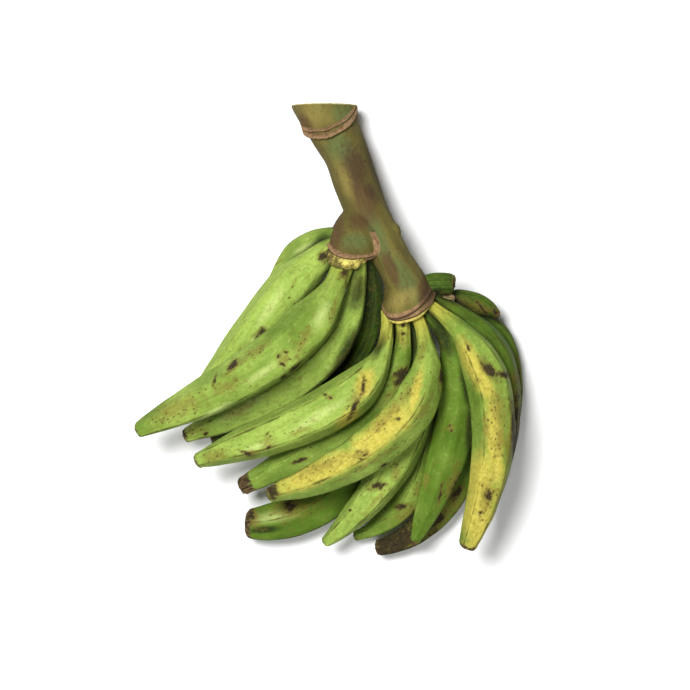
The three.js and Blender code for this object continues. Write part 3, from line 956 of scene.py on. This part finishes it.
def fleck_cover(shade, fine):
    """Uneven specks: a few larger ones everywhere, and dense small ones where the peel is scuffed."""
    uneven = shade.swing(fine, 0.5)
    distance, number = shade.cells(9, (1, 1, 0.8))
    loose = shade.times(shade.fall(shade.add(distance, shade.times(uneven, 0.4)), 0.05, 0.15),
                        shade.step(number, 0.5, 0.55, top=0.7))
    distance, number = shade.cells(3.4, (1, 1, 0.75))
    chosen = shade.step(shade.add(number, shade.times(shade.field("scuff"), 0.6)), 0.85, 1.05, top=0.75)
    dense = shade.times(shade.fall(shade.add(distance, uneven), 0.14, 0.42), chosen)
    return shade.larger(loose, dense)


def peel_material():
    """Waxy fruit skin: green to yellow, rubbed ridges, flecks, scuffs, dark patches, painted shade where
    fingers meet, and a dry tip.
    """
    shade = Shade("peel")
    broad = shade.noise(38, detail=2)
    streak = shade.noise(3.2, (1, 1, 0.07), detail=2)
    mottle = shade.noise(3.6, detail=2)
    fine = shade.noise(2.2, (1, 1, 0.8), detail=2, roughness=0.6)
    edge = shade.noise(5, (1, 1, 0.7), detail=5, roughness=0.7)
    worn = shade.noise(7, (1, 1, 0.3), detail=3)
    fibre = shade.noise(2.2, (1, 1, 0.2), detail=2)
    ragged = shade.swing(edge, 2.2)
    color = sound_skin(shade, broad, streak, mottle, edge, ragged)

    # Wear: brown lines on the ridges, scuffs, smudges and flecks
    line = shade.fall(shade.add(shade.field("crest"), shade.swing(worn, 6.0)), -0.6, 1.2, bottom=0.85)
    color = shade.mix(line, color, srgb(62, 54, 18))
    color = shade.mix(shade.cover("scuff", ragged, 0.0, 0.9, top=0.6), color, srgb(116, 102, 40))
    color = shade.mix(shade.step(fine, 0.48, 0.72, top=0.32), color, srgb(90, 96, 26))
    color = shade.mix(shade.step(edge, 0.48, 0.75, top=0.5), color, srgb(94, 88, 28))
    flecks = fleck_cover(shade, fine)
    color = shade.mix(flecks, color, srgb(70, 60, 22))

    # Dark patches in a brown halo, painted shade where fingers meet, and the dry tip
    color = shade.mix(shade.cover("bruise", ragged, -0.4, 0.4, top=0.7), color, srgb(98, 86, 32))
    bruised = shade.cover("bruise", shade.times(ragged, 1.3), 0.15, 0.6, top=0.94)
    patch = shade.mix(shade.step(mottle, 0.3, 0.8), srgb(32, 25, 14), srgb(60, 48, 28))
    color = shade.mix(bruised, color, patch)
    # Painted shade: darker where the gap to the nearest other finger is small
    painted_crease_shade = shade.fall(shade.add(shade.field("gap"), shade.times(worn, 3.0)), 0.0, 9.5, bottom=0.95)
    color = shade.mix(painted_crease_shade, color, srgb(20, 24, 0))
    dry = shade.cover("dry", ragged, 0.0, 0.5)
    husk = shade.mix(shade.step(fibre, 0.38, 0.72), srgb(42, 32, 18), srgb(112, 90, 54))
    color = shade.mix(dry, color, husk)

    marked = shade.larger(shade.larger(bruised, dry), shade.larger(flecks, line))
    rough = shade.add(shade.add(0.78, shade.times(mottle, 0.1)), shade.times(marked, 0.1))
    height = shade.add(shade.times(fine, 0.3), shade.times(streak, 0.3))
    height = shade.add(height, shade.times(shade.larger(flecks, line), -0.4))
    height = shade.add(height, shade.times(bruised, shade.times(fine, -0.8)))
    height = shade.add(height, shade.times(dry, shade.times(fibre, 1.6)))
    shade.shader.inputs["Specular IOR Level"].default_value = GLOSS
    return shade.finish(color, rough, height, 0.35 * MM)


def husk_material():
    """Dry brown fibre of a shrivelled stub."""
    shade = Shade("husk")
    fibre = shade.noise(1.4, (1, 1, 0.12), detail=4)
    blotch = shade.noise(5, detail=3)
    color = shade.mix(shade.step(fibre, 0.35, 0.7), srgb(70, 52, 32), srgb(150, 124, 84))
    color = shade.mix(shade.step(blotch, 0.5, 0.7, top=0.6), color, srgb(104, 104, 52))
    return shade.finish(color, 0.75, fibre, 0.5 * MM)


def stem_skin(shade, broad, fibre, strand, mottle, ragged, grain):
    """Olive stem skin with its greener, yellower and brown areas, painted shade on its right side, strands
    and flecks.
    """
    color = shade.mix(shade.step(broad, 0.3, 0.7), srgb(80, 72, 32), srgb(108, 100, 46))
    color = shade.mix(shade.cover("fresh", ragged, -0.5, 0.5, top=0.85), color, srgb(84, 95, 50))
    tan = shade.add(shade.add(shade.field("tan"), ragged), grain)
    color = shade.mix(shade.step(tan, -0.9, 0.9, top=0.75), color, srgb(134, 120, 62))
    color = shade.mix(shade.cover("bruise", ragged, -0.5, 0.45, top=0.85), color, srgb(78, 57, 32))
    color = shade.mix(shade.step(strand, 0.5, 0.75, top=0.4), color, srgb(62, 54, 28))
    color = shade.mix(shade.step(fibre, 0.5, 0.72, top=0.2), color, srgb(112, 102, 42))
    color = shade.mix(shade.step(mottle, 0.5, 0.72, top=0.5), color, srgb(74, 56, 34))
    # Painted shade down the stalk's right side and in the crease by the upper crown
    painted_stalk_shade = shade.cover("painted_stalk_shade", shade.times(ragged, 0.5), -0.4, 0.6, top=0.8)
    color = shade.mix(painted_stalk_shade, color, srgb(46, 36, 16))
    distance, number = shade.cells(9)
    fleck = shade.times(shade.fall(distance, 0.06, 0.14), shade.step(number, 0.6, 0.65, top=0.8))
    return shade.mix(fleck, color, srgb(52, 40, 24))


def stalk_material():
    """Dull olive stem skin: lengthwise fibres, brown and purple stains, tan scar lips, a pale cut end."""
    shade = Shade("stalk_skin")
    broad = shade.noise(26, (1, 1, 0.45), detail=3)
    fibre = shade.noise(1.5, (1, 1, 0.05), detail=3, roughness=0.6)
    strand = shade.noise(5, (1, 1, 0.08), detail=3)
    mottle = shade.noise(3.4, detail=3, roughness=0.65)
    ragged = shade.swing(broad, 1.6)
    grain = shade.swing(mottle, 1.2)
    color = stem_skin(shade, broad, fibre, strand, mottle, ragged, grain)

    bare = shade.mix(shade.step(mottle, 0.3, 0.7), srgb(166, 148, 70), srgb(222, 208, 110))
    color = shade.mix(shade.cover("flesh", grain, -0.3, 0.3, top=0.92), color, bare)
    rim = shade.mix(shade.step(mottle, 0.25, 0.6), srgb(94, 67, 44), srgb(142, 112, 80))
    color = shade.mix(shade.cover("lips", shade.times(grain, 0.5), 0.05, 0.5, top=0.95), color, rim)
    purple = shade.add(shade.add(shade.field("purple"), ragged), grain)
    color = shade.mix(shade.step(purple, -0.6, 0.7, top=0.8), color, srgb(60, 42, 29))
    line = shade.cover("below", shade.times(grain, 0.6), 0.2, 0.7, top=0.9)
    color = shade.mix(line, color, srgb(50, 34, 20))
    sawn = shade.mix(shade.step(mottle, 0.35, 0.7), srgb(150, 140, 88), srgb(196, 188, 132))
    color = shade.mix(shade.field("cut"), color, sawn)

    rough = shade.add(0.76, shade.times(mottle, 0.2))
    height = shade.add(shade.times(fibre, 0.5), shade.times(mottle, 0.6))
    shade.shader.inputs["Specular IOR Level"].default_value = GLOSS
    return shade.finish(color, rough, height, 0.5 * MM)


def lay_floor():
    """A plain pale floor of fine-grained paper, just under the bunch."""
    bpy.ops.mesh.primitive_plane_add(size=FLOOR_SIZE, location=(0, 0, -FLOOR_GAP))
    floor = bpy.context.object
    floor.name = "floor"
    shade = Shade("floor_paper")
    grain = shade.new("TexNoise")
    grain.inputs["Scale"].default_value = 900
    color = shade.mix(grain.outputs["Fac"], (0.86, 0.86, 0.86, 1), (0.9, 0.9, 0.9, 1))
    floor.data.materials.append(shade.finish(color, 0.85, grain.outputs["Fac"], 0.02 * MM))


def lamp(name, place, size, watts):
    """A round area light that faces the origin."""
    light = bpy.data.lights.new(name, "AREA")
    light.shape = "DISK"
    light.size = size
    light.energy = watts
    lamp_object = add_object(name, light)
    lamp_object.location = place
    x, y, z = place
    lamp_object.rotation_euler = (math.acos(z / np.linalg.norm(place)), 0, math.atan2(y, x) + math.pi / 2)


def light_studio():
    """Even white surroundings and the two lamps."""
    world = bpy.data.worlds.new("studio")
    world.use_nodes = True
    sky = world.node_tree.nodes["Background"]
    sky.inputs["Color"].default_value = (1, 1, 1, 1)
    sky.inputs["Strength"].default_value = WORLD_STRENGTH
    bpy.context.scene.world = world
    lamp("key", **KEY_LAMP)
    lamp("front", **FRONT_LAMP)


def place_camera():
    """A camera with no rotation, which looks straight down."""
    view = bpy.data.cameras.new("camera")
    view.sensor_width = SENSOR_MM
    view.lens = SENSOR_MM * FOCAL_PIXELS / IMAGE_PIXELS
    view.clip_end = 20
    camera_object = add_object("camera", view)
    camera_object.location = CAMERA_PLACE
    bpy.context.scene.camera = camera_object


def dress():
    """Puts a finished skin in the place of each solid."""
    peel = peel_material()
    for index, (name, look) in enumerate(FINGERS.items()):
        piece = finger_piece(name, look, SEED + 10 * index)
        piece.data.materials.append(husk_material() if name == "dry_stub" else peel)
        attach(piece, "root")
        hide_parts(name)
    stalk = stalk_piece()
    stalk.data.materials.append(stalk_material())
    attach(stalk, "root")
    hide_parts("stalk")


bpy.context.scene.view_settings.view_transform = "Standard"
place_camera()
light_studio()
lay_floor()
dress()
